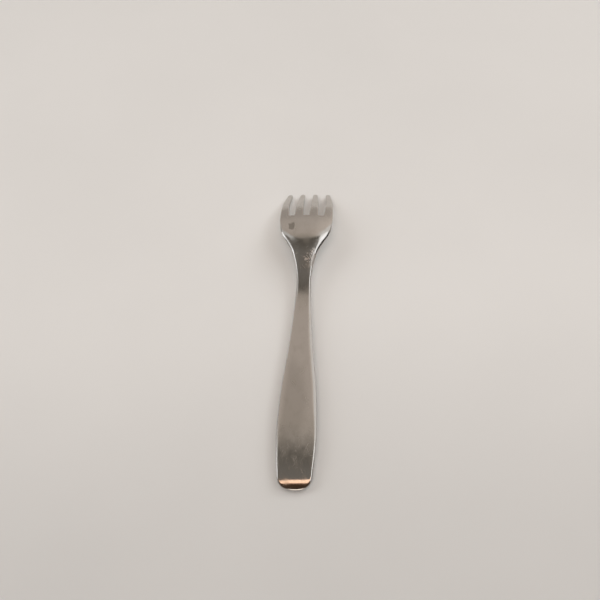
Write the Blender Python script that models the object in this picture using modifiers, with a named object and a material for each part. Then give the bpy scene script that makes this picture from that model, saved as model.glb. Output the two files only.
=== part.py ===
"""Baby fork: one piece of pressed stainless steel, lying back up as it rests on a table.

The fork is an open mid-surface, bent to the side profile and given its thickness by Solidify. It lies along
Y with the tines towards +Y. The tips and the turned-down end of the handle touch Z = 0.
"""

import math

import bmesh
import bpy
import numpy as np

MM = 0.001

# Lengths measured along the metal, from the end of the handle to the tips, in millimetres
END_TURN_LENGTH = 4.6
HANDLE_BOW_LENGTH = 30.4
HANDLE_LEVEL_LENGTH = 33.0
NECK_LENGTH = 16.5
FLARE_LENGTH = 21.5
PALM_LENGTH = 9.7
TINE_LENGTH = 20.7

# Widths across the fork in the same order, in millimetres
END_WIDTH = 11.7
HANDLE_WIDTH = 14.0
LEVEL_START_WIDTH = 12.85
LEVEL_MIDDLE_WIDTH = 8.8
LEVEL_END_WIDTH = 6.85
NECK_WIDTH = 5.4
FLARE_WIDTHS = (6.3, 9.2, 13.7)
SHOULDER_WIDTH = 18.2
PALM_WIDTH = 20.2
HEAD_WIDTH = 21.2
TINE_SPAN = 21.0
TIP_SPAN = 17.6
SLOT_WIDTH = 2.2
TINE_TIP_WIDTH = 1.9

# Thickness of the metal, and the rounding of its edges, in millimetres
HANDLE_THICKNESS = 2.2
NECK_THICKNESS = 2.6
PALM_THICKNESS = 2.0
TIP_THICKNESS = 1.3
EDGE_ROUND = 1.1
DISH_DEPTH = 1.0

# Plan roundings, in millimetres
END_ROUND = 5.6
TIP_ROUND = 1.2

# Slopes of the side profile, in degrees, positive where it climbs towards the tines
END_SLOPE = 42.0
ROLL_SLOPE = 9.0
BOW_SLOPE = 4.0
RISE_SLOPE = 7.6
NECK_SLOPE = 16.2
SHOULDER_SLOPE = 12.2
TINE_SLOPE = -24.0

# Places along a stretch, as shares of its length
HANDLE_WIDEST_AT = 0.5
BOW_SLOPE_AT = 0.31
LEVEL_MIDDLE_AT = 0.62
RISE_SLOPE_AT = 0.73
NECK_THICKEST_AT = 0.25
FLARE_WIDTHS_AT = (0.3, 0.6, 0.82)
NECK_STEEPEST_AT = 0.42
SHOULDER_SLOPE_AT = 0.83
CREST_AT = 0.25
PALM_WIDTH_AT = 0.3
HEAD_WIDEST_AT = 0.88
TINE_SPAN_AT = 0.35
TINE_SLOPE_AT = 0.45

# Shares of the slopes at both ends of the turned-down end that its middle has, of the thickness left at an
# edge, of the dish left at the tips, and of the tines' slope there
TURN_SLOPE_SHARE = 0.46
EDGE_LAND = 0.4
TIP_DISH = 0.3
TIP_SLOPE_GAIN = 1.15

# Exponents of the rounded outlines: 2 is a true arc, and more is squarer
END_SQUARENESS = 2.5
SLOT_SQUARENESS = 2.6

TINES = 4
TINE_SPLITS = (0.0, 0.1, 0.3, 0.7, 0.9, 1.0)
SLOT_CELLS = 4
PROFILE_STEPS = 2400

ROLL = END_TURN_LENGTH
LEVEL_START = ROLL + HANDLE_BOW_LENGTH
LEVEL_END = LEVEL_START + HANDLE_LEVEL_LENGTH
NECK = LEVEL_END + NECK_LENGTH
SHOULDER = NECK + FLARE_LENGTH
ROOT = SHOULDER + PALM_LENGTH
TIP = ROOT + TINE_LENGTH
SLOT_RADIUS = SLOT_WIDTH / 2
END_JOIN = END_ROUND * 1.25
END_CORNER = END_ROUND * 0.3
TIP_JOIN = TIP - TIP_ROUND * 2.0
ROOT_JOIN = ROOT - SLOT_WIDTH * 0.8

COLUMNS = TINES * (len(TINE_SPLITS) - 1) + (TINES - 1) * SLOT_CELLS


def smooth_through(points, stations):
    """Return the monotone cubic through (station, value) points, read at the stations."""
    known, values = (np.array(column, float) for column in zip(*points))
    gaps = np.diff(known)
    rates = np.diff(values) / gaps
    tangents = np.concatenate([rates[:1], np.zeros(len(rates) - 1), rates[-1:]])
    for i in range(1, len(rates)):
        if rates[i - 1] * rates[i] > 0:
            before = 2 * gaps[i] + gaps[i - 1]
            after = gaps[i] + 2 * gaps[i - 1]
            tangents[i] = (before + after) / (before / rates[i - 1] + after / rates[i])
    cell = np.clip(np.searchsorted(known, stations) - 1, 0, len(gaps) - 1)
    t = (np.clip(stations, known[0], known[-1]) - known[cell]) / gaps[cell]
    start = (1 + 2 * t) * (1 - t) ** 2 * values[cell] + t * (1 - t) ** 2 * gaps[cell] * tangents[cell]
    finish = t**2 * (3 - 2 * t) * values[cell + 1] - t**2 * (1 - t) * gaps[cell] * tangents[cell + 1]
    return start + finish


def half_width(stations):
    """Half of the fork's width: a handle that tapers to the neck, then a flare, a shoulder and the head."""
    widths = [
        (0.0, END_WIDTH),
        (ROLL + HANDLE_BOW_LENGTH * HANDLE_WIDEST_AT, HANDLE_WIDTH),
        (LEVEL_START, LEVEL_START_WIDTH),
        (LEVEL_START + HANDLE_LEVEL_LENGTH * LEVEL_MIDDLE_AT, LEVEL_MIDDLE_WIDTH),
        (LEVEL_END, LEVEL_END_WIDTH),
        (NECK, NECK_WIDTH),
    ]
    widths += [(NECK + FLARE_LENGTH * place, width) for place, width in zip(FLARE_WIDTHS_AT, FLARE_WIDTHS)]
    widths += [
        (SHOULDER, SHOULDER_WIDTH),
        (SHOULDER + PALM_LENGTH * PALM_WIDTH_AT, PALM_WIDTH),
        (SHOULDER + PALM_LENGTH * HEAD_WIDEST_AT, HEAD_WIDTH),
        (ROOT + TINE_LENGTH * TINE_SPAN_AT, TINE_SPAN),
        (TIP, TIP_SPAN),
    ]
    return smooth_through(widths, stations) / 2


def thickness(stations):
    """Thickness of the metal: even along the handle, fullest at the neck and thinnest at the tips."""
    gauges = [
        (0.0, HANDLE_THICKNESS),
        (LEVEL_END, HANDLE_THICKNESS),
        (NECK + FLARE_LENGTH * NECK_THICKEST_AT, NECK_THICKNESS),
        (SHOULDER, PALM_THICKNESS),
        (TIP, TIP_THICKNESS),
    ]
    return smooth_through(gauges, stations)


def slopes(stations):
    """Slope of the side profile, in degrees."""
    angles = [
        (0.0, END_SLOPE),
        (ROLL / 2, (END_SLOPE + ROLL_SLOPE) * TURN_SLOPE_SHARE),
        (ROLL, ROLL_SLOPE),
        (ROLL + HANDLE_BOW_LENGTH * BOW_SLOPE_AT, BOW_SLOPE),
        (LEVEL_START, 0.0),
        (LEVEL_END, 0.0),
        (LEVEL_END + NECK_LENGTH * RISE_SLOPE_AT, RISE_SLOPE),
        (NECK + FLARE_LENGTH * NECK_STEEPEST_AT, NECK_SLOPE),
        (NECK + FLARE_LENGTH * SHOULDER_SLOPE_AT, SHOULDER_SLOPE),
        (SHOULDER + PALM_LENGTH * CREST_AT, 0.0),
        (ROOT + TINE_LENGTH * TINE_SLOPE_AT, TINE_SLOPE),
        (TIP, TINE_SLOPE * TIP_SLOPE_GAIN),
    ]
    return smooth_through(angles, stations)


def side_profile(tine_bend):
    """Integrate the slopes, with those of the tines multiplied by tine_bend.

    Returns the stations with the profile's Y, its Z and its slope in radians.
    """
    stations = np.linspace(0.0, TIP, PROFILE_STEPS)
    angles = np.radians(slopes(stations))
    angles = np.where(angles < 0, angles * tine_bend, angles)
    step = stations[1]
    along = np.concatenate([[0.0], np.cumsum((np.cos(angles[1:]) + np.cos(angles[:-1])) / 2 * step)])
    height = np.concatenate([[0.0], np.cumsum((np.sin(angles[1:]) + np.sin(angles[:-1])) / 2 * step)])
    return stations, along, height, angles


def row_stations():
    """Stations of the grid's rows, closest together where the fork bends or ends."""
    bands = [
        (END_JOIN, LEVEL_START, 9),
        (LEVEL_START, LEVEL_END, 8),
        (LEVEL_END, NECK, 5),
        (NECK, SHOULDER, 12),
        (SHOULDER, ROOT_JOIN, 5),
    ]
    ends = [END_JOIN * share for share in (0.0, 0.04, 0.1, 0.2, 0.4, 0.7)]
    body = [station for low, high, count in bands for station in np.linspace(low, high, count, endpoint=False)]
    root = [ROOT_JOIN + (ROOT + SLOT_RADIUS - ROOT_JOIN) * share for share in (0.0, 0.5, 0.8, 1.0)]
    tines = list(np.linspace(ROOT + SLOT_RADIUS, TIP_JOIN, 9)[1:])
    tips = [TIP_JOIN + (TIP - TIP_JOIN) * share for share in (0.4, 0.75, 0.92, 1.0)]
    return np.array(ends + body + root + tines + tips)


def column_layout(station):
    """Place the columns across the fork at a station.

    Returns X for each column, and each column's place across its tine or slot, from -1 to 1, with a mark
    that is true in the slots.
    """
    reach = float(half_width(np.array([max(station, ROOT)]))[0])
    root_tine = (HEAD_WIDTH - (TINES - 1) * SLOT_WIDTH) / TINES
    taper = min(max((station - ROOT) / (TIP - ROOT), 0.0), 1.0)
    tine = root_tine + (TINE_TIP_WIDTH - root_tine) * taper
    pitch = (2 * reach - tine) / (TINES - 1)
    xs, across, in_slot = [], [], []
    for k in range(TINES):
        left = -reach + k * pitch
        for share in TINE_SPLITS:
            xs.append(left + tine * share)
            across.append(2 * share - 1)
            in_slot.append(False)
        if k < TINES - 1:
            for cell in range(1, SLOT_CELLS):
                place = math.sin((cell / SLOT_CELLS - 0.5) * math.pi)
                middle = left + (tine + pitch) / 2
                xs.append(middle + (pitch - tine) / 2 * place)
                across.append(place)
                in_slot.append(True)
    scale = float(half_width(np.array([station]))[0]) / reach
    return np.array(xs) * scale, np.array(across), np.array(in_slot)


def end_reach(station):
    """Half of the width near the handle's rounded end, which is half of a superellipse."""
    cap = min(max(1 - station / END_ROUND, 0.0), 1.0)
    share = (1 - cap**END_SQUARENESS) ** (1 / END_SQUARENESS)
    return share * float(half_width(np.array([max(station, END_ROUND)]))[0])


def end_front(xs):
    """Station of the handle's rounded end at each X."""
    share = np.abs(xs) / end_reach(END_ROUND)
    return END_ROUND * (1 - (1 - share**END_SQUARENESS) ** (1 / END_SQUARENESS))


def plan_points(rows):
    """Lay the grid out flat: X and station of each column in each row."""
    xs = np.zeros((len(rows), COLUMNS + 1))
    stations = np.zeros_like(xs)
    join_x = column_layout(END_JOIN)[0]
    join_x = join_x / join_x[-1]
    front = end_front(join_x * end_reach(END_CORNER))
    for j, row in enumerate(rows):
        row_x, across, in_slot = column_layout(row)
        squareness = np.where(in_slot, SLOT_SQUARENESS, 2.0)
        bulge = 1 - np.clip(1 - np.abs(across) ** squareness, 0.0, 1.0) ** (1 / squareness)
        place = np.full(COLUMNS + 1, row)
        if row < END_JOIN:
            place = front + (END_JOIN - front) * row / END_JOIN
            row_x = join_x * end_reach(place[-1])
        elif ROOT_JOIN < row <= ROOT + SLOT_RADIUS:
            share = (row - ROOT_JOIN) / (ROOT + SLOT_RADIUS - ROOT_JOIN)
            depth = np.where(in_slot, ROOT + SLOT_RADIUS * bulge, ROOT + SLOT_RADIUS)
            place = ROOT_JOIN + (depth - ROOT_JOIN) * share
        elif row > TIP_JOIN:
            share = (row - TIP_JOIN) / (TIP - TIP_JOIN)
            reach = TIP - TIP_ROUND * bulge
            place = TIP_JOIN + (reach - TIP_JOIN) * share
        xs[j] = row_x
        stations[j] = place
    return xs, stations


def flat_grid(xs, stations, rows):
    """Make the flat mesh from a grid, with the slots between the tines taken out."""
    bm = bmesh.new()
    bmesh.ops.create_grid(bm, x_segments=COLUMNS, y_segments=len(rows) - 1, size=0.5)
    slot_start = ROOT + SLOT_RADIUS * 0.5
    cells = len(TINE_SPLITS) - 1
    doomed = []
    for face in bm.faces:
        centre = face.calc_center_median()
        column = int((centre.x + 0.5) * COLUMNS)
        row = int((centre.y + 0.5) * (len(rows) - 1))
        if rows[row + 1] > ROOT + SLOT_RADIUS and rows[row] > slot_start:
            if column % (cells + SLOT_CELLS) >= cells:
                doomed.append(face)
    for vert in bm.verts:
        column = round((vert.co.x + 0.5) * COLUMNS)
        row = round((vert.co.y + 0.5) * (len(rows) - 1))
        vert.co = (xs[row, column], stations[row, column], 0.0)
    bmesh.ops.delete(bm, geom=doomed, context="FACES")
    return bm


def edge_distance(bm):
    """Distance of each vertex from the nearest edge of the flat outline."""
    points = np.array([vert.co[:2] for vert in bm.verts])
    rims = [[vert.co[:2] for vert in edge.verts] for edge in bm.edges if edge.is_boundary]
    nearest = np.full(len(points), np.inf)
    for first, second in np.array(rims):
        run = second - first
        share = np.clip((points - first) @ run / (run @ run), 0.0, 1.0)
        gap = points - first - share[:, None] * run
        nearest = np.minimum(nearest, np.hypot(gap[:, 0], gap[:, 1]))
    return nearest


def fork_surface():
    """Bend the flat grid to the side profile.

    Returns the bmesh of the mid-surface in metres and each vertex's share of the greatest thickness.
    """
    rows = row_stations()
    xs, stations = plan_points(rows)
    bm = flat_grid(xs, stations, rows)
    plan_x, plan_station = np.array([vert.co[:2] for vert in bm.verts]).T
    inset = np.clip(edge_distance(bm) / EDGE_ROUND, 0.0, 1.0)
    rounding = EDGE_LAND + (1 - EDGE_LAND) * np.sqrt(1 - (1 - inset) ** 2)
    metal = thickness(plan_station) * rounding
    dish_points = [(NECK, 0.0), (SHOULDER, 1.0), (ROOT, 1.0), (TIP, TIP_DISH)]
    dish = DISH_DEPTH * smooth_through(dish_points, plan_station)
    dish = dish * (plan_x / half_width(plan_station)) ** 2

    # The tines are bent until the tips and the handle's end stand at one height
    least, most = 0.3, 3.0
    for _ in range(50):
        bend = (least + most) / 2
        known, along, height, angles = side_profile(bend)
        tilt = np.interp(plan_station, known, angles)
        middle = np.interp(plan_station, known, height) - dish
        underside = middle - metal / 2 * np.cos(tilt)
        if underside[plan_station > ROOT].min() > underside[plan_station < LEVEL_START].min():
            least = bend
        else:
            most = bend
    lengthwise = np.interp(plan_station, known, along)
    centre = (lengthwise.max() + lengthwise.min()) / 2
    lift = underside.min()
    for vert, x, y, z in zip(bm.verts, plan_x, lengthwise - centre, middle - lift):
        vert.co = (x * MM, y * MM, z * MM)
    return bm, metal / NECK_THICKNESS


def stainless_steel():
    """Satin stainless steel."""
    material = bpy.data.materials.new("stainless_steel")
    material.use_nodes = True
    shader = material.node_tree.nodes["Principled BSDF"]
    shader.inputs["Base Color"].default_value = (0.60, 0.57, 0.53, 1.0)
    shader.inputs["Metallic"].default_value = 1.0
    shader.inputs["Roughness"].default_value = 0.28
    return material


def build_fork(collection):
    """Make the fork: the bent surface with its thickness, shaded smooth."""
    bm, shares = fork_surface()
    mesh = bpy.data.meshes.new("fork")
    bm.to_mesh(mesh)
    bm.free()
    mesh.materials.append(stainless_steel())
    mesh.shade_smooth()
    fork = bpy.data.objects.new("fork", mesh)
    collection.objects.link(fork)
    group = fork.vertex_groups.new(name="thickness")
    for index, share in enumerate(shares):
        group.add([index], float(min(share, 1.0)), "REPLACE")
    shell = fork.modifiers.new("thickness", "SOLIDIFY")
    shell.thickness = NECK_THICKNESS * MM
    shell.offset = 0.0
    shell.vertex_group = group.name
    shell.use_quality_normals = True
    return fork


def settle(fork):
    """Move the fork so that the bottom centre of its box is at the world's origin."""
    bpy.context.view_layer.update()
    solid = fork.evaluated_get(bpy.context.evaluated_depsgraph_get())
    corners = np.array([corner[:] for corner in solid.bound_box])
    low, high = corners.min(axis=0), corners.max(axis=0)
    fork.location = (-(low[0] + high[0]) / 2, -(low[1] + high[1]) / 2, -low[2])


def main():
    """Clear the scene and build the fork in its own collection."""
    for item in list(bpy.data.objects):
        bpy.data.objects.remove(item, do_unlink=True)
    collection = bpy.data.collections.new("baby_fork")
    bpy.context.scene.collection.children.link(collection)
    settle(build_fork(collection))


main()
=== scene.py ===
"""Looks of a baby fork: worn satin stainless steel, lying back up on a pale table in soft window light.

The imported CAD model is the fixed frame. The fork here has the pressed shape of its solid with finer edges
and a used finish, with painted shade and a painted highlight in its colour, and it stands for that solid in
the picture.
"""

import logging
import math
from dataclasses import dataclass
from enum import Enum
from typing import Any, Optional, Union

import bmesh
import bpy
import numpy as np
from mathutils import Matrix, Quaternion, Vector


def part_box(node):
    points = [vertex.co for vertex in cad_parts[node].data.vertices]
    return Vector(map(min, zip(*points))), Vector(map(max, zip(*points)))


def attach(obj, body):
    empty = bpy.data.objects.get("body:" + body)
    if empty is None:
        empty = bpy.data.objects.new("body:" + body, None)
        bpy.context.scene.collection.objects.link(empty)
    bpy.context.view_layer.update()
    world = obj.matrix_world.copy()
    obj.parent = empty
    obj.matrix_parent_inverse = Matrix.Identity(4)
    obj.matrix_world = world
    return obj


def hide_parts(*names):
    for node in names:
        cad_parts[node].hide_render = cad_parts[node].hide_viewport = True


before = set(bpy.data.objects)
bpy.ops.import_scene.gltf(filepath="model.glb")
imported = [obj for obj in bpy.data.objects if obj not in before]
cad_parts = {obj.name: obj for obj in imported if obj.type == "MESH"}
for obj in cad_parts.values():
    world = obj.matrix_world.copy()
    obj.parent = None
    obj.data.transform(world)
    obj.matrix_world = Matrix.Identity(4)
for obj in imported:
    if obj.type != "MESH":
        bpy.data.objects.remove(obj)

LOG = logging.getLogger("baby_fork")
MM = 0.001
PHOTO_SIDE = 600.0
SENSOR_MM = 36.0
ANY_DEPTH = 1000.0
SAME_STATION = 0.001
MIX_FIRST_COLOUR = 6
MIX_SECOND_COLOUR = 7
MIX_COLOUR_OUT = 2

Triple = tuple[float, float, float]
Colour = Triple
Span = tuple[float, float]
Points = list[tuple[float, float]]
Stops = tuple[tuple[float, Colour], ...]

BLACK: Colour = (0.0, 0.0, 0.0)
DAYLIGHT: Colour = (0.95, 0.98, 1.0)
LAMPLIGHT: Colour = (1.0, 0.68, 0.48)


def opaque(colour: Colour) -> tuple[float, float, float, float]:
    """Give a colour its alpha."""
    return (*colour, 1.0)


class Signal:
    """A socket that takes part in shader maths written as Python expressions."""

    def __init__(self, bench: "NodeBench", socket: bpy.types.NodeSocket) -> None:
        """Keep the socket and the bench that its nodes are made on."""
        self.bench = bench
        self.socket = socket

    def maths(self, operation: str, *others: "Value") -> "Signal":
        """Feed this signal and others to a Math node."""
        return self.bench.add("ShaderNodeMath", {"operation": operation}, dict(enumerate((self, *others))))

    def flipped(self, operation: str, first: "Value") -> "Signal":
        """Feed another value and then this signal to a Math node."""
        return self.bench.add("ShaderNodeMath", {"operation": operation}, {0: first, 1: self})

    def __add__(self, other: "Value") -> "Signal":
        """Add."""
        return self.maths("ADD", other)

    def __radd__(self, other: "Value") -> "Signal":
        """Add to a number."""
        return self.flipped("ADD", other)

    def __sub__(self, other: "Value") -> "Signal":
        """Subtract."""
        return self.maths("SUBTRACT", other)

    def __rsub__(self, other: "Value") -> "Signal":
        """Subtract from a number."""
        return self.flipped("SUBTRACT", other)

    def __mul__(self, other: "Value") -> "Signal":
        """Multiply."""
        return self.maths("MULTIPLY", other)

    def __rmul__(self, other: "Value") -> "Signal":
        """Multiply a number."""
        return self.flipped("MULTIPLY", other)

    def __truediv__(self, other: "Value") -> "Signal":
        """Divide."""
        return self.maths("DIVIDE", other)

    def __rtruediv__(self, other: "Value") -> "Signal":
        """Divide a number."""
        return self.flipped("DIVIDE", other)

    def most(self, *others: "Signal") -> "Signal":
        """Take the greatest of this signal and others.

        Args:
            others: the other signals.

        Returns:
            The greatest value at each place.
        """
        greatest = self
        for other in others:
            greatest = greatest.maths("MAXIMUM", other)
        return greatest

    def ramp(self, start: float, end: float) -> "Signal":
        """Ease from 0 to 1 as this signal goes from a start to an end, which may be the lesser."""
        inputs = {"Value": self, "From Min": start, "From Max": end}
        return self.bench.add("ShaderNodeMapRange", {"interpolation_type": "SMOOTHSTEP"}, inputs)


Value = Union[Signal, float, tuple[float, ...]]
Sockets = dict[Union[str, int], Value]


@dataclass(frozen=True)
class Pattern:
    """A noise: its waves in each unit of a place, along each axis, and its octaves of finer noise."""

    waves: Triple
    octaves: float = 2.0


class NodeBench:
    """Makes and links the nodes of one tree."""

    def __init__(self, tree: bpy.types.NodeTree) -> None:
        """Keep the tree, emptied."""
        self.tree = tree
        tree.nodes.clear()

    def add(
        self,
        kind: str,
        settings: Optional[dict[str, Any]] = None,
        inputs: Optional[Sockets] = None,
        output: Union[str, int] = 0,
    ) -> Signal:
        """Add a node.

        Args:
            kind: the node's type.
            settings: its properties, which are set first.
            inputs: values or links of its sockets, by name or number.
            output: the socket to give back.

        Returns:
            The signal of that output, or of the first input where a node has no output.
        """
        node = self.tree.nodes.new(kind)
        for name, setting in (settings or {}).items():
            if name == "stops":
                self.fill_ramp(node.color_ramp, setting)
            else:
                setattr(node, name, setting)
        for key, value in (inputs or {}).items():
            if isinstance(value, Signal):
                self.tree.links.new(value.socket, node.inputs[key])
            else:
                node.inputs[key].default_value = value
        return Signal(self, node.outputs[output] if len(node.outputs) else node.inputs[0])

    @staticmethod
    def fill_ramp(ramp: bpy.types.ColorRamp, stops: Stops) -> None:
        """Set the colours of a ramp.

        Args:
            ramp: the ramp.
            stops: places from 0 to 1 and the colours there.
        """
        while len(ramp.elements) < len(stops):
            ramp.elements.new(1.0)
        for element, (place, colour) in zip(ramp.elements, stops):
            element.position = place
            element.color = opaque(colour)

    def vector(self, operation: str, inputs: Sockets, output: Union[str, int] = 0) -> Signal:
        """Add a Vector Math node."""
        return self.add("ShaderNodeVectorMath", {"operation": operation}, inputs, output)

    def axis(self, place: Signal, name: str) -> Signal:
        """Take one coordinate of a place."""
        return self.add("ShaderNodeSeparateXYZ", {}, {0: place}, name)

    def scale(self, colour: Signal, gain: Value) -> Signal:
        """Make a colour brighter or darker."""
        return self.vector("SCALE", {0: colour, "Scale": gain})

    def blend(self, share: Value, first: Value, second: Value) -> Signal:
        """Mix two colours, with this share of the second."""
        inputs = {0: share, MIX_FIRST_COLOUR: first, MIX_SECOND_COLOUR: second}
        return self.add("ShaderNodeMix", {"data_type": "RGBA"}, inputs, MIX_COLOUR_OUT)

    def noise(self, place: Signal, pattern: Pattern, turn: float = 0.0) -> Signal:
        """Add noise over a place.

        Args:
            place: the coordinates.
            pattern: the waves and octaves of the noise.
            turn: the pattern's turn about the third axis, in degrees.

        Returns:
            A value from 0 to 1, around a half.
        """
        if turn:
            inputs = {"Vector": place, "Angle": math.radians(turn)}
            place = self.add("ShaderNodeVectorRotate", {"rotation_type": "Z_AXIS"}, inputs)
        scaled = self.vector("MULTIPLY", {0: place, 1: pattern.waves})
        inputs = {"Vector": scaled, "Scale": 1.0, "Detail": pattern.octaves}
        return self.add("ShaderNodeTexNoise", {}, inputs)

    def ripple(self, place: Signal, pattern: Pattern) -> Signal:
        """Add noise over a place, as much below 0 as above it."""
        return self.noise(place, pattern) - 0.5

    def spot(self, place: Signal, centre: Triple, reach: Triple) -> Signal:
        """Measure the distance from the middle of a spot.

        Args:
            place: the coordinates.
            centre: the middle of the spot.
            reach: the spot's half sizes.

        Returns:
            The distance, which is 1 at the half sizes.
        """
        offset = self.vector("SUBTRACT", {0: place, 1: centre})
        scaled = self.vector("DIVIDE", {0: offset, 1: reach})
        return self.vector("LENGTH", {0: scaled}, "Value")

    def dress(self, sockets: Sockets) -> None:
        """End a material's tree in a principled shader with these sockets."""
        shader = self.add("ShaderNodeBsdfPrincipled", {}, sockets)
        self.add("ShaderNodeOutputMaterial", {}, {"Surface": shader})


class Lay(Enum):
    """Which way a set of scratches runs, in degrees from the length of the fork."""

    ALONG = 0.0
    SLANT = 24.0
    COUNTER = -31.0
    ACROSS = 82.0


@dataclass(frozen=True)
class Patch:
    """A soft patch of the blank: its middle, its half sizes, where it fades and how ragged its edge is.

    It fades over a span of distances from its middle, counted in half sizes.
    """

    centre: tuple[float, float]
    reach: tuple[float, float]
    fade: Span
    raggedness: float = 0.0

    def cover(self, bench: NodeBench, blank: Signal, ragged: Signal) -> Signal:
        """Find where the patch lies.

        Args:
            bench: the bench of the material's nodes.
            blank: the blank's coordinates.
            ragged: the noise that makes an edge ragged.

        Returns:
            The patch, 1 inside it and 0 outside it.
        """
        away = bench.spot(blank, (*self.centre, 0.0), (*self.reach, ANY_DEPTH))
        if self.raggedness:
            away = away + ragged * self.raggedness
        return away.ramp(*self.fade)


@dataclass(frozen=True)
class SatinSteel:
    """Stainless steel, polished lengthwise and dulled by use, with painted shade and a painted highlight in
    its colour.

    Sizes are in millimetres. The first two coordinates of a place lie in the flat blank, across it and
    along it from the end of the handle, and the third is the distance from its outline. A span says where
    a change starts and where it is complete.
    """

    name: str = "stainless_steel"
    colour: Colour = (0.60, 0.575, 0.55)
    dull_colour: Colour = (0.57, 0.545, 0.515)
    # lighter colour of the real scuffs and of a painted highlight along the outline
    scuff_and_highlight_colour: Colour = (0.72, 0.69, 0.66)
    # darker colour of a real smudge, of the painted shade and of the darker handle patch
    stain_and_shade_colour: Colour = (0.25, 0.235, 0.21)
    roughness: float = 0.10
    grain_roughness: float = 0.06
    dull_roughness: float = 0.10
    scratch_roughness: float = 0.12
    scuff_roughness: float = 0.40
    haze_roughness: float = 0.40
    edge_roughness: float = 0.05
    grain_height: float = 0.0005
    wave_height: float = 0.05
    scratch_height: float = 0.0015
    scuff_height: float = 0.006
    grain: Pattern = Pattern((3.2, 0.06, 0.0), 3.0)
    wave: Pattern = Pattern((0.15, 0.11, 0.0))
    cloud: Pattern = Pattern((0.30, 0.17, 0.0), 4.0)
    scratch: Pattern = Pattern((5.0, 0.16, 0.0), 1.0)
    ragged: Pattern = Pattern((0.9, 0.6, 0.0), 3.0)
    stroke: Pattern = Pattern((3.4, 0.34, 0.0))
    fleck: Pattern = Pattern((1.1, 0.9, 0.0))
    edge_span: Span = (1.0, 0.0)
    dull_span: Span = (0.45, 0.70)
    scratch_span: Span = (0.66, 0.74)
    stroke_span: Span = (0.48, 0.62)
    fleck_span: Span = (0.38, 0.55)
    haze_span: Span = (1.3, 0.6)
    worn_span: Span = (0.36, 0.60)
    darker_handle_span: Span = (0.3, 2.6)
    # painted shade: a dark line along the outline of the tines and slots
    painted_slot_shade_span: Span = (0.22, 0.0)
    scuffed: Patch = Patch((2.3, 95.2), (3.3, 4.0), (1.0, 0.5), 1.6)
    stained: Patch = Patch((-5.6, 109.4), (1.6, 2.3), (1.0, 0.55), 1.6)
    # painted shade: a dark band across the flare of the head, below its shoulders
    painted_shade_patch: Patch = Patch((0.0, 101.5), (9.0, 4.5), (1.0, 0.4))
    worn: Patch = Patch((0.0, 13.0), (14.0, 9.0), (1.0, 0.6), 0.8)
    # a darker patch over the middle of the handle, more on its left side
    darker_handle_patch: Patch = Patch((-4.8, 32.0), (8.2, 20.0), (1.15, 0.7))
    # where the painted shade along the tines' edges lies
    slotted: Patch = Patch((0.0, 126.0), (9.3, 13.0), (1.05, 0.95))
    # painted highlight: how much lighter the colour is along the outline
    painted_edge_shine: float = 0.3
    stain_share: float = 0.7
    painted_shade_share: float = 0.28
    darker_handle_share: float = 0.24
    painted_slot_shade_share: float = 0.6

    def scratches(self, bench: NodeBench, blank: Signal, lay: Lay) -> Signal:
        """Draw one set of hair-fine scratches, 1 along each and 0 between them."""
        return bench.noise(blank, self.scratch, lay.value).ramp(*self.scratch_span)

    def material(self) -> bpy.types.Material:
        """Make the material.

        Returns:
            A material that reads the blank's own coordinates from the mesh attribute "blank".
        """
        made = bpy.data.materials.new(self.name)
        made.use_nodes = True
        bench = NodeBench(made.node_tree)
        blank = bench.add("ShaderNodeAttribute", {"attribute_name": "blank"}, {}, "Vector")
        inward = bench.axis(blank, "Z")
        edge = inward.ramp(*self.edge_span)
        grain = bench.ripple(blank, self.grain)
        wave = bench.ripple(blank, self.wave)
        cloud = bench.noise(blank, self.cloud)
        ragged = bench.ripple(blank, self.ragged)
        lines, *more_lines = (self.scratches(bench, blank, lay) for lay in Lay)
        lines = lines.most(*more_lines)

        scuffed = self.scuffed.cover(bench, blank, ragged)
        strokes = bench.noise(blank, self.stroke, Lay.COUNTER.value).ramp(*self.stroke_span)
        scuff = scuffed * strokes * bench.noise(blank, self.fleck).ramp(*self.fleck_span)
        haze = scuffed * inward.ramp(*self.haze_span)
        worn = self.worn.cover(bench, blank, ragged) * cloud.ramp(*self.worn_span)
        dull = cloud.ramp(*self.dull_span).most(worn)
        stain = self.stained.cover(bench, blank, ragged) * self.stain_share
        # painted shade: the dark band across the flare of the head
        shade = self.painted_shade_patch.cover(bench, blank, ragged) * self.painted_shade_share
        # the handle darker over its middle, away from its edges
        darker_handle = self.darker_handle_patch.cover(bench, blank, ragged) * inward.ramp(*self.darker_handle_span) * self.darker_handle_share
        # painted shade: a dark line along the outline of the tines and slots
        painted_slot_shade = self.slotted.cover(bench, blank, ragged) * inward.ramp(*self.painted_slot_shade_span) * self.painted_slot_shade_share

        rough = self.roughness + grain * self.grain_roughness + dull * self.dull_roughness
        rough = rough + lines * self.scratch_roughness + edge * self.edge_roughness
        rough = rough + scuff * self.scuff_roughness + haze * self.haze_roughness
        colour = bench.blend(dull, opaque(self.colour), opaque(self.dull_colour))
        # real scuffs and a painted highlight along the outline take the lighter colour
        colour = bench.blend(scuff.most(edge * self.painted_edge_shine), colour, opaque(self.scuff_and_highlight_colour))
        # a real smudge, the painted shade and the darker handle patch take the darker colour
        colour = bench.blend(stain.most(shade, darker_handle, painted_slot_shade), colour, opaque(self.stain_and_shade_colour))
        height = grain * self.grain_height + wave * self.wave_height
        height = height - lines * self.scratch_height - scuff * self.scuff_height
        bump = bench.add("ShaderNodeBump", {}, {"Strength": 1.0, "Distance": MM, "Height": height})
        bench.dress({"Base Color": colour, "Metallic": 1.0, "Roughness": rough, "Normal": bump})
        return made


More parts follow.
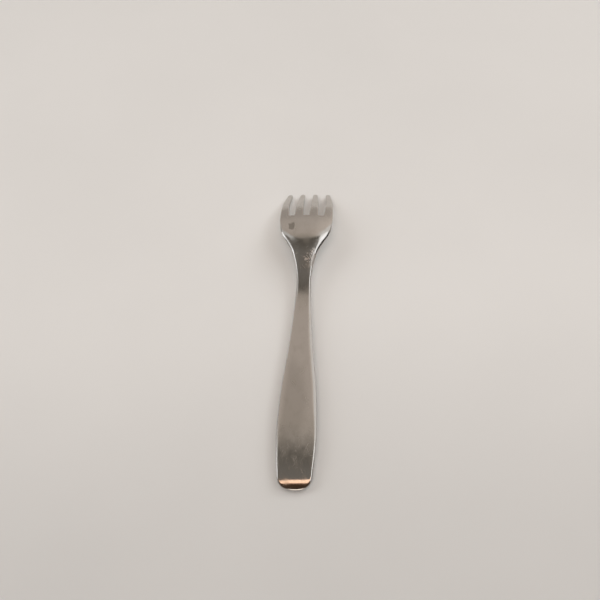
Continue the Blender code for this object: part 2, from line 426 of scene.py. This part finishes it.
@dataclass(frozen=True)
class PaleLaminate:
    """The pale, faintly mottled top of the table, with painted shade that darkens its near side. Places are
    in metres.
    """

    name: str = "pale_laminate"
    colour: Colour = (0.905, 0.90, 0.882)
    mottle: Pattern = Pattern((9.0, 9.0, 9.0), 3.0)
    mottle_span: Span = (0.3, 0.7)
    mottle_share: float = 0.03
    # painted shade: the table darker towards its near side, where less light falls
    painted_near_shade_span: Span = (0.03, -0.13)
    painted_near_shade_share: float = 0.21
    roughness: float = 0.55

    def material(self) -> bpy.types.Material:
        """Make the material.

        Returns:
            A material in the table's own coordinates.
        """
        made = bpy.data.materials.new(self.name)
        made.use_nodes = True
        bench = NodeBench(made.node_tree)
        place = bench.add("ShaderNodeTexCoord", {}, {}, "Object")
        mottle = bench.noise(place, self.mottle).ramp(*self.mottle_span)
        # painted shade towards the near side
        near = bench.axis(place, "Y").ramp(*self.painted_near_shade_span)
        shade = mottle * self.mottle_share + near * self.painted_near_shade_share
        colour = bench.blend(shade, opaque(self.colour), opaque(BLACK))
        bench.dress({"Base Color": colour, "Roughness": self.roughness})
        return made


def share_between(start: float, end: float, value: float) -> float:
    """Give how far a value has come from a start to an end, from 0 to 1."""
    return min(max((value - start) / (end - start), 0.0), 1.0)


def smooth_through(points: Points, stations: np.ndarray) -> np.ndarray:
    """Draw a monotone cubic through points.

    Args:
        points: pairs of station and value.
        stations: where to read the curve.

    Returns:
        The curve's values.
    """
    known, values = (np.array(column, float) for column in zip(*points))
    gaps = np.diff(known)
    rates = np.diff(values) / gaps
    tangents = np.concatenate([rates[:1], np.zeros(len(rates) - 1), rates[-1:]])
    for i in range(1, len(rates)):
        if rates[i - 1] * rates[i] > 0:
            before = 2 * gaps[i] + gaps[i - 1]
            after = gaps[i] + 2 * gaps[i - 1]
            tangents[i] = (before + after) / (before / rates[i - 1] + after / rates[i])
    cell = np.clip(np.searchsorted(known, stations) - 1, 0, len(gaps) - 1)
    t = (np.clip(stations, known[0], known[-1]) - known[cell]) / gaps[cell]
    start = (1 + 2 * t) * (1 - t) ** 2 * values[cell] + t * (1 - t) ** 2 * gaps[cell] * tangents[cell]
    finish = t**2 * (3 - 2 * t) * values[cell + 1] - t**2 * (1 - t) * gaps[cell] * tangents[cell + 1]
    return start + finish


@dataclass
class PressedFork:
    """The fork: a flat blank, cut to its outline, pressed to the side profile and given its thickness.

    Lengths run along the metal from the end of the handle to the tips. All sizes are in millimetres and
    all slopes in degrees, positive where the fork climbs towards the tines. A name that ends in at, from
    or until says how far along its stretch of the fork a value holds, from 0 to 1.
    """

    finish: SatinSteel
    end_turn_length: float = 4.6
    handle_bow_length: float = 30.4
    handle_level_length: float = 33.0
    neck_length: float = 16.5
    flare_length: float = 21.5
    palm_length: float = 9.7
    tine_length: float = 20.7
    end_width: float = 11.7
    handle_width: float = 14.0
    handle_widest_at: float = 0.5
    level_start_width: float = 12.85
    level_middle_width: float = 8.8
    level_middle_at: float = 0.62
    level_end_width: float = 6.85
    neck_width: float = 5.4
    flare_widths: Triple = (6.3, 9.4, 14.3)
    flare_widths_at: Triple = (0.3, 0.6, 0.82)
    shoulder_width: float = 18.85
    palm_width: float = 20.5
    palm_width_at: float = 0.3
    head_width: float = 21.3
    head_widest_at: float = 0.88
    tine_span: float = 21.0
    tine_span_at: float = 0.35
    tip_span: float = 17.6
    slot_width: float = 2.2
    tine_tip_width: float = 1.9
    handle_thickness: float = 2.2
    neck_thickness: float = 2.6
    neck_thickest_at: float = 0.25
    palm_thickness: float = 2.0
    tip_thickness: float = 1.3
    end_edge_round: float = 0.7
    bow_edge_round: float = 0.84
    bow_edge_at: float = 0.5
    handle_edge_round: float = 1.8
    handle_edge_until: float = 0.5
    neck_edge_round: float = 0.7
    neck_edge_until: float = 0.5
    flare_edge_round: float = 1.54
    flare_edge_at: float = 0.75
    shoulder_edge_round: float = 2.8
    palm_edge_round: float = 0.9
    palm_edge_at: float = 0.6
    tine_edge_round: float = 0.35
    body_round_limit: float = 0.84
    tine_round_limit: float = 0.42
    end_land: float = 0.4
    handle_land: float = 0.68
    handle_land_from: float = 0.25
    neck_land: float = 0.45
    shoulder_land: float = 0.24
    shoulder_land_from: float = 0.65
    shoulder_land_until: float = 0.3
    palm_land: float = 0.4
    tine_land: float = 0.55
    tine_land_from: float = 0.3
    handle_crown: float = 0.15
    crown_flatness: float = 0.7
    dish_depth: float = 1.0
    tip_dish: float = 0.3
    end_round: float = 5.6
    end_squareness: float = 2.5
    end_join_factor: float = 1.25
    end_corner_factor: float = 0.3
    tip_round: float = 1.2
    slot_corner: float = 0.5
    root_blend: float = 1.6
    tip_blend: float = 2.6
    end_slope: float = 42.0
    turn_slope_share: float = 0.46
    roll_slope: float = 9.0
    bow_slope: float = 4.0
    bow_slope_at: float = 0.31
    rise_slope: float = 7.6
    rise_slope_at: float = 0.73
    neck_slope: float = 16.2
    neck_steepest_at: float = 0.42
    shoulder_slope: float = 12.2
    shoulder_slope_at: float = 0.83
    crest_at: float = 0.25
    tine_slope: float = -24.0
    tine_slope_at: float = 0.45
    tip_slope_gain: float = 1.15
    bend_limits: Span = (0.3, 3.0)
    bend_tries: int = 50
    tines: int = 4
    edge_steps: int = 6
    tine_cells: int = 4
    slot_cells: int = 8
    end_rows: int = 10
    body_rows: int = 108
    tine_rows: int = 22
    lead_rows: int = 9
    profile_steps: int = 2400

    def __post_init__(self) -> None:
        """Work out the stations where one stretch ends and the next begins, and the grid's columns."""
        self.roll = self.end_turn_length
        self.level_start = self.roll + self.handle_bow_length
        self.level_end = self.level_start + self.handle_level_length
        self.neck = self.level_end + self.neck_length
        self.shoulder = self.neck + self.flare_length
        self.root = self.shoulder + self.palm_length
        self.tip = self.root + self.tine_length
        self.slot_start = self.root + self.slot_corner
        self.end_join = self.end_round * self.end_join_factor
        self.end_corner = self.end_round * self.end_corner_factor
        self.root_join = self.root - self.root_blend
        self.tip_join = self.tip - self.tip_blend
        self.cells_each = 2 * self.edge_steps + self.tine_cells
        self.columns = self.tines * self.cells_each + (self.tines - 1) * self.slot_cells

    def half_width(self, stations: np.ndarray) -> np.ndarray:
        """Give half of the fork's width.

        Args:
            stations: places along the fork.

        Returns:
            The half width at each.
        """
        flare = zip(self.flare_widths_at, self.flare_widths)
        widths = [
            (0.0, self.end_width),
            (self.roll + self.handle_bow_length * self.handle_widest_at, self.handle_width),
            (self.level_start, self.level_start_width),
            (self.level_start + self.handle_level_length * self.level_middle_at, self.level_middle_width),
            (self.level_end, self.level_end_width),
            (self.neck, self.neck_width),
            *((self.neck + self.flare_length * place, width) for place, width in flare),
            (self.shoulder, self.shoulder_width),
            (self.shoulder + self.palm_length * self.palm_width_at, self.palm_width),
            (self.shoulder + self.palm_length * self.head_widest_at, self.head_width),
            (self.root + self.tine_length * self.tine_span_at, self.tine_span),
            (self.tip, self.tip_span),
        ]
        return smooth_through(widths, stations) / 2

    def reach_at(self, station: float) -> float:
        """Give half of the fork's width at one station."""
        return float(self.half_width(np.array([station]))[0])

    def thickness(self, stations: np.ndarray) -> np.ndarray:
        """Give the metal's thickness away from its edges.

        Args:
            stations: places along the fork.

        Returns:
            The thickness at each.
        """
        gauges = [
            (0.0, self.handle_thickness),
            (self.level_end, self.handle_thickness),
            (self.neck + self.flare_length * self.neck_thickest_at, self.neck_thickness),
            (self.shoulder, self.palm_thickness),
            (self.tip, self.tip_thickness),
        ]
        return smooth_through(gauges, stations)

    def rounding(self, stations: np.ndarray) -> np.ndarray:
        """Give how far in from the outline the edges are rounded.

        Args:
            stations: places along the fork.

        Returns:
            The width of the rounding at each.
        """
        widths = [
            (0.0, self.end_edge_round),
            (self.roll, self.end_edge_round),
            (self.roll + self.handle_bow_length * self.bow_edge_at, self.bow_edge_round),
            (self.level_start, self.handle_edge_round),
            (self.level_start + self.handle_level_length * self.handle_edge_until, self.handle_edge_round),
            (self.neck, self.neck_edge_round),
            (self.neck + self.flare_length * self.neck_edge_until, self.neck_edge_round),
            (self.neck + self.flare_length * self.flare_edge_at, self.flare_edge_round),
            (self.shoulder, self.shoulder_edge_round),
            (self.shoulder + self.palm_length * self.palm_edge_at, self.palm_edge_round),
            (self.root, self.tine_edge_round),
            (self.tip, self.tine_edge_round),
        ]
        return smooth_through(widths, stations)

    def land(self, stations: np.ndarray) -> np.ndarray:
        """Give the share of the thickness that is left at the outline.

        Args:
            stations: places along the fork.

        Returns:
            The share at each.
        """
        shares = [
            (0.0, self.end_land),
            (self.roll, self.end_land),
            (self.roll + self.handle_bow_length * self.handle_land_from, self.handle_land),
            (self.level_end, self.handle_land),
            (self.neck, self.neck_land),
            (self.neck + self.flare_length * self.shoulder_land_from, self.shoulder_land),
            (self.shoulder + self.palm_length * self.shoulder_land_until, self.shoulder_land),
            (self.root, self.palm_land),
            (self.root + self.tine_length * self.tine_land_from, self.tine_land),
            (self.tip, self.tine_land),
        ]
        return smooth_through(shares, stations)

    def slopes(self, stations: np.ndarray) -> np.ndarray:
        """Give the slope of the side profile.

        Args:
            stations: places along the fork.

        Returns:
            The slope at each, in degrees.
        """
        angles = [
            (0.0, self.end_slope),
            (self.roll / 2, (self.end_slope + self.roll_slope) * self.turn_slope_share),
            (self.roll, self.roll_slope),
            (self.roll + self.handle_bow_length * self.bow_slope_at, self.bow_slope),
            (self.level_start, 0.0),
            (self.level_end, 0.0),
            (self.level_end + self.neck_length * self.rise_slope_at, self.rise_slope),
            (self.neck + self.flare_length * self.neck_steepest_at, self.neck_slope),
            (self.neck + self.flare_length * self.shoulder_slope_at, self.shoulder_slope),
            (self.shoulder + self.palm_length * self.crest_at, 0.0),
            (self.root + self.tine_length * self.tine_slope_at, self.tine_slope),
            (self.tip, self.tine_slope * self.tip_slope_gain),
        ]
        return smooth_through(angles, stations)

    def side_profile(self, tine_bend: float) -> tuple[np.ndarray, np.ndarray, np.ndarray, np.ndarray]:
        """Follow the slopes from the end of the handle to the tips.

        Args:
            tine_bend: what the downward slopes are multiplied by.

        Returns:
            The stations, the way along Y, the height and the slope in radians.
        """
        stations = np.linspace(0.0, self.tip, self.profile_steps)
        angles = np.radians(self.slopes(stations))
        angles = np.where(angles < 0, angles * tine_bend, angles)
        step = stations[1]
        along = np.concatenate([[0.0], np.cumsum((np.cos(angles[1:]) + np.cos(angles[:-1])) / 2 * step)])
        height = np.concatenate([[0.0], np.cumsum((np.sin(angles[1:]) + np.sin(angles[:-1])) / 2 * step)])
        return stations, along, height, angles

    def arc_insets(self) -> np.ndarray:
        """Give the distances from an edge, as shares of its rounding, that split the rounding evenly."""
        return 1 - np.cos(np.linspace(0.0, math.pi / 2, self.edge_steps + 1))

    def edge_rows(self, join: float, edge: float) -> list[float]:
        """Give the stations of the rows from a join to an edge of the tines, close together at the edge."""
        lead = np.linspace(join, edge - self.tine_edge_round, self.lead_rows)[1:-1]
        return [*lead, *(edge - self.arc_insets()[::-1] * self.tine_edge_round)]

    def row_stations(self) -> np.ndarray:
        """Place the grid's rows, closest together where the handle, the slots and the tines end.

        Returns:
            The rows' stations.
        """
        end = list(self.arc_insets() * self.end_edge_round)
        end += list(np.linspace(self.end_edge_round, self.end_join, self.end_rows)[1:-1])
        body = list(np.linspace(self.end_join, self.root_join, self.body_rows))
        rooted = self.edge_rows(self.root_join, self.slot_start)
        tines = list(np.linspace(self.slot_start, self.tip_join, self.tine_rows)[1:])
        tips = self.edge_rows(self.tip_join, self.tip)
        return np.array(end + body + rooted + tines + tips)

    def tine_columns(self, station: float) -> tuple[np.ndarray, np.ndarray, np.ndarray]:
        """Place the columns of the tines and slots at a station.

        Args:
            station: a place along the fork, from the slots' ends on.

        Returns:
            X of each column, its place across its tine or slot from -1 to 1, and whether it is in a slot.
        """
        reach = self.reach_at(station)
        root_tine = (self.head_width - (self.tines - 1) * self.slot_width) / self.tines
        taper = share_between(self.root, self.tip, station)
        tine = root_tine + (self.tine_tip_width - root_tine) * taper
        pitch = (2 * reach - tine) / (self.tines - 1)
        rounding = min(self.tine_edge_round, tine * self.tine_round_limit)
        insets = self.arc_insets() * rounding
        middle = np.linspace(rounding, tine - rounding, self.tine_cells + 1)[1:-1]
        steps = np.concatenate([insets, middle, tine - insets[::-1]])
        spread = np.sin(np.linspace(-0.5, 0.5, self.slot_cells + 1)[1:-1] * math.pi)
        xs, across, in_slot = [], [], []
        for k in range(self.tines):
            left = -reach + k * pitch
            xs.append(left + steps)
            across.append(2 * steps / tine - 1)
            in_slot.append(np.zeros(len(steps), bool))
            if k < self.tines - 1:
                xs.append(left + (tine + pitch) / 2 + (pitch - tine) / 2 * spread)
                across.append(spread)
                in_slot.append(np.ones(len(spread), bool))
        return np.concatenate(xs), np.concatenate(across), np.concatenate(in_slot)

    def body_columns(self, station: float) -> np.ndarray:
        """Place the columns across the handle or the neck, close together at its rounded edges.

        Args:
            station: a place along the fork.

        Returns:
            X of each column.
        """
        reach = self.reach_at(station)
        rounding = min(float(self.rounding(np.array([station]))[0]), reach * self.body_round_limit)
        insets = self.arc_insets() * rounding
        middle_cells = self.columns - 2 * self.edge_steps
        middle = np.linspace(-reach + rounding, reach - rounding, middle_cells + 1)[1:-1]
        return np.concatenate([insets - reach, middle, reach - insets[::-1]])

    def end_reach(self, stations: np.ndarray) -> np.ndarray:
        """Give half of the width near the handle's rounded end, which is half of a superellipse.

        Args:
            stations: places along the fork, up to where the end joins the handle.

        Returns:
            The half width at each.
        """
        cap = np.clip(1 - stations / self.end_round, 0.0, 1.0)
        share = (1 - cap**self.end_squareness) ** (1 / self.end_squareness)
        return share * self.half_width(np.maximum(stations, self.end_round))

    def end_front(self, xs: np.ndarray) -> np.ndarray:
        """Give the station of the handle's rounded end at each X."""
        share = np.abs(xs) / self.reach_at(self.end_round)
        return self.end_round * (1 - (1 - share**self.end_squareness) ** (1 / self.end_squareness))

    def slot_floor(self) -> np.ndarray:
        """Find how deep each column reaches into the rounded inner corners of the slots.

        Returns:
            The depth in each column, as a share of the corners' radius.
        """
        xs, across, in_slot = self.tine_columns(self.slot_start)
        half_slot = (xs[self.cells_each + self.slot_cells] - xs[self.cells_each]) / 2
        from_side = (1 - np.abs(across)) * half_slot / self.slot_corner
        return np.where(in_slot, np.sqrt(1 - np.clip(1 - from_side, 0.0, 1.0) ** 2), 0.0)

    def edge_share(self, row: float, join: float, edge: float) -> float:
        """Give how much a row takes after an edge of the tines: none at a join, all at the rounding."""
        return share_between(join, edge - self.tine_edge_round, row)

    def plan_points(self, rows: np.ndarray) -> tuple[np.ndarray, np.ndarray]:
        """Lay the grid out flat.

        Args:
            rows: the rows' stations.

        Returns:
            X and the station of each column in each row.
        """
        xs = np.zeros((len(rows), self.columns + 1))
        stations = np.zeros_like(xs)
        join_x = self.body_columns(self.end_join)
        join_x = join_x / join_x[-1]
        corner = self.end_reach(np.array([self.end_corner]))[0]
        front = self.end_front(join_x * corner)
        floor = self.slot_floor()
        join_tines, _, _ = self.tine_columns(self.tip_join)
        tip_tines, across, _ = self.tine_columns(self.tip)
        bulge = 1 - np.sqrt(np.clip(1 - across**2, 0.0, 1.0))
        for j, row in enumerate(rows):
            place = np.full(self.columns + 1, row)
            tine_x, _, _ = self.tine_columns(max(row, self.slot_start))
            if row < self.end_join:
                place = front + (self.end_join - front) * row / self.end_join
                row_x = join_x * self.end_reach(place[-1:])
            elif row <= self.slot_start:
                ease = share_between(self.shoulder, self.root_join, row)
                ease = ease * ease * (3 - 2 * ease)
                width = self.reach_at(row) / tine_x[-1]
                row_x = self.body_columns(row) * (1 - ease) + tine_x * width * ease
                near = self.edge_share(row, self.root_join, self.slot_start)
                place = row - self.slot_corner * floor * near
            elif row <= self.tip_join:
                row_x = tine_x
            else:
                near = self.edge_share(row, self.tip_join, self.tip)
                place = row - self.tip_round * bulge * near
                row_x = join_tines + (tip_tines - join_tines) * (place - self.tip_join) / self.tip_blend
            xs[j] = row_x
            stations[j] = place
        return xs, stations

    def flat_grid(self, xs: np.ndarray, stations: np.ndarray, rows: np.ndarray) -> bmesh.types.BMesh:
        """Make the flat blank from a grid, with the slots between the tines taken out.

        Args:
            xs: X of each column in each row.
            stations: the station of each column in each row.
            rows: the rows' stations.

        Returns:
            The blank's mesh.
        """
        bm = bmesh.new()
        last = len(rows) - 1
        # The grid starts one unit wide and long about its middle, so a place gives a column and a row.
        bmesh.ops.create_grid(bm, x_segments=self.columns, y_segments=last, size=0.5)
        doomed = []
        for face in bm.faces:
            centre = face.calc_center_median()
            column = int((centre.x + 0.5) * self.columns)
            row = int((centre.y + 0.5) * last)
            slotted = column % (self.cells_each + self.slot_cells) >= self.cells_each
            if slotted and rows[row] >= self.slot_start - SAME_STATION:
                doomed.append(face)
        for vert in bm.verts:
            column = round((vert.co.x + 0.5) * self.columns)
            row = round((vert.co.y + 0.5) * last)
            vert.co = (xs[row, column], stations[row, column], 0.0)
        bmesh.ops.delete(bm, geom=doomed, context="FACES")
        return bm

    def edge_distance(self, bm: bmesh.types.BMesh) -> np.ndarray:
        """Measure how far each vertex of the flat blank is from its outline.

        Args:
            bm: the blank's mesh.

        Returns:
            The distances.
        """
        points = np.array([vert.co[:2] for vert in bm.verts])
        rims = np.array([[vert.co[:2] for vert in edge.verts] for edge in bm.edges if edge.is_boundary])
        nearest = np.full(len(points), np.inf)
        for first, second in rims:
            run = second - first
            share = np.clip((points - first) @ run / (run @ run), 0.0, 1.0)
            gap = points - first - share[:, None] * run
            nearest = np.minimum(nearest, np.hypot(gap[:, 0], gap[:, 1]))
        return nearest

    def build(self) -> bpy.types.Object:
        """Make the fork and dress it.

        Returns:
            The fork, standing on the table.
        """
        rows = self.row_stations()
        bm = self.flat_grid(*self.plan_points(rows), rows)
        plan_x, plan_station = np.array([vert.co[:2] for vert in bm.verts]).T
        distance = self.edge_distance(bm)
        inset = np.clip(distance / self.rounding(plan_station), 0.0, 1.0)
        land = self.land(plan_station)
        metal = self.thickness(plan_station) * (land + (1 - land) * np.sqrt(1 - (1 - inset) ** 2))
        bend = self.press(bm, plan_x, plan_station, metal)
        mesh = bpy.data.meshes.new("pressed_fork")
        bm.to_mesh(mesh)
        bm.free()
        places = np.stack([plan_x, plan_station, distance], 1).astype(np.float32)
        blank = mesh.attributes.new("blank", "FLOAT_VECTOR", "POINT")
        blank.data.foreach_set("vector", places.ravel())
        mesh.materials.append(self.finish.material())
        mesh.shade_smooth()
        fork = bpy.data.objects.new("pressed_fork", mesh)
        bpy.context.scene.collection.objects.link(fork)
        group = fork.vertex_groups.new(name="thickness")
        for index, share in enumerate(metal / self.neck_thickness):
            group.add([index], float(min(share, 1.0)), "REPLACE")
        shell = fork.modifiers.new("thickness", "SOLIDIFY")
        shell.thickness = self.neck_thickness * MM
        shell.offset = 0.0
        shell.vertex_group = group.name
        shell.use_quality_normals = True
        LOG.info("pressed_fork: %d rows of %d columns, tines bent by %.3f", len(rows), self.columns, bend)
        return fork

    def press(
        self,
        bm: bmesh.types.BMesh,
        plan_x: np.ndarray,
        plan_station: np.ndarray,
        metal: np.ndarray,
    ) -> float:
        """Bend the flat blank to the side profile and stand it on the table.

        Args:
            bm: the blank's mesh.
            plan_x: X of each vertex.
            plan_station: the station of each vertex.
            metal: the thickness at each vertex.

        Returns:
            How much the tines had to be bent for the tips and the handle's end to stand at one height.
        """
        depths = [
            (self.neck, 0.0),
            (self.shoulder, self.dish_depth),
            (self.root, self.dish_depth),
            (self.tip, self.dish_depth * self.tip_dish),
        ]
        crowns = [
            (0.0, 0.0),
            (self.roll, self.handle_crown),
            (self.neck, self.handle_crown),
            (self.shoulder, 0.0),
        ]
        across = np.abs(plan_x / self.half_width(plan_station))
        crown = (1 - self.crown_flatness) * across**2 + self.crown_flatness * across**4
        dish = smooth_through(depths, plan_station) * across**2
        dish = dish + smooth_through(crowns, plan_station) * crown
        least, most = self.bend_limits
        for _ in range(self.bend_tries):
            bend = (least + most) / 2
            known, along, height, angles = self.side_profile(bend)
            tilt = np.interp(plan_station, known, angles)
            middle = np.interp(plan_station, known, height) - dish
            underside = middle - metal / 2 * np.cos(tilt)
            if underside[plan_station > self.root].min() > underside[plan_station < self.level_start].min():
                least = bend
            else:
                most = bend
        lengthwise = np.interp(plan_station, known, along)
        centre = (lengthwise.max() + lengthwise.min()) / 2
        for vert, x, y, z in zip(bm.verts, plan_x, lengthwise - centre, middle - underside.min()):
            vert.co = (x * MM, y * MM, z * MM)
        return bend


def settle(fork: bpy.types.Object) -> None:
    """Move the fork's mesh to where its CAD node stands: box over box, and both on one floor.

    Args:
        fork: the fork.
    """
    bpy.context.view_layer.update()
    solid = fork.evaluated_get(bpy.context.evaluated_depsgraph_get())
    corners = [Vector(corner) for corner in solid.bound_box]
    low = Vector(map(min, *corners))
    high = Vector(map(max, *corners))
    node_low, node_high = (Vector(corner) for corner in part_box("fork"))
    shift = (node_low + node_high - low - high) / 2
    shift.z = node_low.z - low.z
    fork.data.transform(Matrix.Translation(shift))


@dataclass(frozen=True)
class SoftLight:
    """A softbox that faces the fork.

    Its azimuth is counted from +Y towards +X. Angles are in degrees and sizes in metres. The roll turns it
    about the line to the fork, and steel shows it only where it is mirrored.
    """

    name: str
    azimuth: float
    elevation: float
    distance: float
    width: float
    height: float
    radiance: float
    colour: Colour
    mirrored: bool = True
    roll: float = 0.0

    def build(self) -> None:
        """Make the light."""
        lamp = bpy.data.lights.new(self.name, "AREA")
        lamp.shape = "RECTANGLE"
        lamp.size = self.width
        lamp.size_y = self.height
        lamp.energy = self.radiance * math.pi * self.width * self.height
        lamp.color = self.colour
        azimuth = math.radians(self.azimuth)
        elevation = math.radians(self.elevation)
        flat = math.cos(elevation)
        way = Vector((math.sin(azimuth) * flat, math.cos(azimuth) * flat, math.sin(elevation)))
        light = bpy.data.objects.new(self.name, lamp)
        light.location = way * self.distance
        facing = way.to_track_quat("Z", "Y") @ Quaternion((0.0, 0.0, 1.0), math.radians(self.roll))
        light.rotation_euler = facing.to_euler()
        light.visible_camera = False
        light.visible_glossy = self.mirrored
        bpy.context.scene.collection.objects.link(light)


@dataclass(frozen=True)
class Window:
    """A bright window with soft edges, painted on the room.

    It has a direction, half sizes and a glow. Its edge fades over the blur, and a share of that lies
    outside the half sizes.
    """

    way: Triple
    reach: Triple
    glow: Colour
    blur: float = 0.4
    outer_share: float = 0.3

    def paint(self, bench: NodeBench, way: Signal, room: Signal) -> Signal:
        """Paint the window over the room.

        Args:
            bench: the bench of the world's nodes.
            way: the direction that is looked in.
            room: the room's colour in that direction.

        Returns:
            The room's colour with the window in it.
        """
        outer = 1 + self.blur * self.outer_share
        share = bench.spot(way, self.way, self.reach).ramp(outer, outer - self.blur)
        return bench.blend(share, room, opaque(self.glow))


@dataclass
class Studio:
    """The table, the room that the steel reflects, its windows and the lights.

    The arch's stops are in degrees, from straight ahead over the top to the back. A span says how far
    across, ahead or up a direction points where a change starts and where it is complete. Sizes are in
    metres.
    """

    laminate: PaleLaminate
    table_side: float = 3.0
    table_cells: int = 12
    arch: Stops = (
        (0.0, (0.64, 0.60, 0.55)),
        (6.0, (0.44, 0.40, 0.36)),
        (20.0, (0.445, 0.40, 0.36)),
        (32.0, (0.53, 0.475, 0.425)),
        (50.0, (0.55, 0.49, 0.435)),
        (60.0, (0.535, 0.47, 0.415)),
        (66.0, (0.50, 0.44, 0.38)),
        (70.2, (0.46, 0.41, 0.36)),
        (72.4, (0.14, 0.125, 0.105)),
        (75.0, (0.15, 0.135, 0.115)),
        (80.0, (0.195, 0.18, 0.16)),
        (92.0, (0.205, 0.185, 0.165)),
        (110.0, (0.22, 0.13, 0.085)),
        (122.0, (0.055, 0.03, 0.017)),
        (136.0, (0.07, 0.045, 0.03)),
        (150.0, (0.10, 0.075, 0.06)),
        (180.0, (0.16, 0.13, 0.11)),
    )
    right_gain: float = 0.32
    gain_across: Span = (-0.02, 0.24)
    gain_ahead: Span = (0.2, 0.35)
    side: Colour = (0.66, 0.645, 0.63)
    side_across: Span = (0.68, 0.80)
    side_foot: Colour = (0.09, 0.085, 0.08)
    foot_up: Span = (0.40, 0.28)
    foot_ahead: Span = (0.62, 0.45)
    right_wall: Colour = (0.03, 0.027, 0.024)
    wall_across: Span = (0.62, 0.74)
    wall_ahead: Span = (0.45, 0.30)
    back_share: float = 0.15
    back_across: Span = (0.80, 0.66)
    back_ahead: Span = (-0.15, -0.45)
    windows: tuple[Window, ...] = (
        Window((0.0, -0.95, 0.30), (0.17, 1.0, 0.22), (2.1, 1.9, 1.7)),
        Window((0.50, 0.42, 0.75), (0.36, 0.24, 1.5), (0.82, 0.80, 0.77)),
        Window((0.50, 0.23, 0.83), (0.27, 0.12, 1.5), (1.10, 1.09, 1.06), 0.25),
        Window((0.56, 0.0, 0.83), (0.20, 0.35, 1.5), (1.52, 1.54, 1.56)),
        Window((-0.58, 0.295, 0.76), (0.30, 0.105, 1.5), (0.66, 0.65, 0.63), 0.15),
        Window((-0.91, 0.14, 0.42), (0.14, 0.18, 0.5), (1.7, 1.75, 1.8)),
    )
    lights: tuple[SoftLight, ...] = (
        SoftLight("right_bounce", 50.0, 33.0, 1.3, 0.7, 0.5, 2.15, DAYLIGHT, mirrored=False),
        SoftLight("left_bounce", -64.0, 45.0, 1.3, 0.8, 0.6, 1.10, DAYLIGHT, mirrored=False),
        SoftLight("back_bounce", 180.0, 60.0, 1.3, 0.65, 0.5, 3.35, DAYLIGHT, mirrored=False),
        SoftLight("warm_lamp", 180.0, 76.0, 1.25, 0.9, 0.265, 1.60, LAMPLIGHT, roll=34.0),
    )

    def build(self) -> bpy.types.Object:
        """Make the table, the surroundings and the lights.

        Returns:
            The table.
        """
        self.surround()
        for light in self.lights:
            light.build()
        bm = bmesh.new()
        cells = self.table_cells
        bmesh.ops.create_grid(bm, x_segments=cells, y_segments=cells, size=self.table_side / 2)
        mesh = bpy.data.meshes.new("table_top")
        bm.to_mesh(mesh)
        bm.free()
        mesh.materials.append(self.laminate.material())
        table = bpy.data.objects.new("table_top", mesh)
        bpy.context.scene.collection.objects.link(table)
        return table

    def surround(self) -> None:
        """Paint the room: a lit wall ahead, a dark ceiling and back, bright sides and the windows."""
        world = bpy.data.worlds.new("room")
        world.use_nodes = True
        bench = NodeBench(world.node_tree)
        way = bench.add("ShaderNodeTexCoord", {}, {}, "Generated")
        right, ahead, up = (bench.axis(way, name) for name in "XYZ")
        aside = right.maths("ABSOLUTE")
        turn = up.maths("ARCTAN2", ahead) / math.pi
        stops = tuple((angle / 180, colour) for angle, colour in self.arch)
        arch = bench.add("ShaderNodeValToRGB", {"stops": stops}, {"Fac": turn})
        gain = right.ramp(*self.gain_across) * ahead.ramp(*self.gain_ahead) * self.right_gain
        arch = bench.scale(arch, 1 + gain)
        wall = right.ramp(*self.wall_across) * ahead.ramp(*self.wall_ahead)
        side = bench.blend(wall, opaque(self.side), opaque(self.right_wall))
        foot = up.ramp(*self.foot_up) * ahead.ramp(*self.foot_ahead)
        side = bench.blend(foot, side, opaque(self.side_foot))
        back = ahead.ramp(*self.back_ahead) * aside.ramp(*self.back_across)
        side = bench.scale(side, 1 - back * (1 - self.back_share))
        room = bench.blend(aside.ramp(*self.side_across), arch, side)
        for window in self.windows:
            room = window.paint(bench, way, room)
        glow = bench.add("ShaderNodeBackground", {}, {"Color": room, "Strength": 1.0})
        bench.add("ShaderNodeOutputWorld", {}, {"Surface": glow})
        bpy.context.scene.world = world


@dataclass(frozen=True)
class PhotoCamera:
    """The photograph's camera, in degrees and millimetres. Its aim is a point of the table."""

    elevation: float = 55.0
    swing: float = -7.27
    roll: float = 5.75
    distance: float = 353.1
    aim: tuple[float, float] = (-1.65, 13.16)
    focal_pixels: float = 900.0

    def build(self) -> bpy.types.Object:
        """Make the camera and use it.

        Returns:
            The camera.
        """
        up_angle, swing, roll = (math.radians(angle) for angle in (self.elevation, self.swing, self.roll))
        level = Vector((math.sin(swing), math.cos(swing), 0.0))
        upright = Vector((0.0, 0.0, 1.0))
        ahead = level * math.cos(up_angle) - upright * math.sin(up_angle)
        up = level * math.sin(up_angle) + upright * math.cos(up_angle)
        right = ahead.cross(up)
        rolled_right = right * math.cos(roll) - up * math.sin(roll)
        rolled_up = right * math.sin(roll) + up * math.cos(roll)
        lens = bpy.data.cameras.new("photo_camera")
        lens.sensor_width = SENSOR_MM
        lens.lens = self.focal_pixels * SENSOR_MM / PHOTO_SIDE
        camera = bpy.data.objects.new("photo_camera", lens)
        place = Vector((*self.aim, 0.0)) * MM - ahead * (self.distance * MM)
        axes = Matrix((rolled_right, rolled_up, -ahead)).transposed()
        camera.matrix_world = Matrix.Translation(place) @ axes.to_4x4()
        bpy.context.scene.collection.objects.link(camera)
        bpy.context.scene.camera = camera
        return camera


def main() -> None:
    """Build the fork, the studio and the camera, and report each piece."""
    logging.basicConfig(level=logging.INFO, format="%(name)s: %(message)s")
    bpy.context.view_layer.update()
    bpy.context.scene.view_settings.view_transform = "Standard"

    fork = PressedFork(SatinSteel()).build()
    settle(fork)
    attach(fork, "root")
    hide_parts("fork")

    table = Studio(PaleLaminate()).build()
    LOG.info("table_top: %.1f m wide, not part of the fork", table.dimensions.x)

    camera = PhotoCamera().build()
    LOG.info("photo_camera: %.1f mm lens", camera.data.lens)


if __name__ == "__main__":
    main()
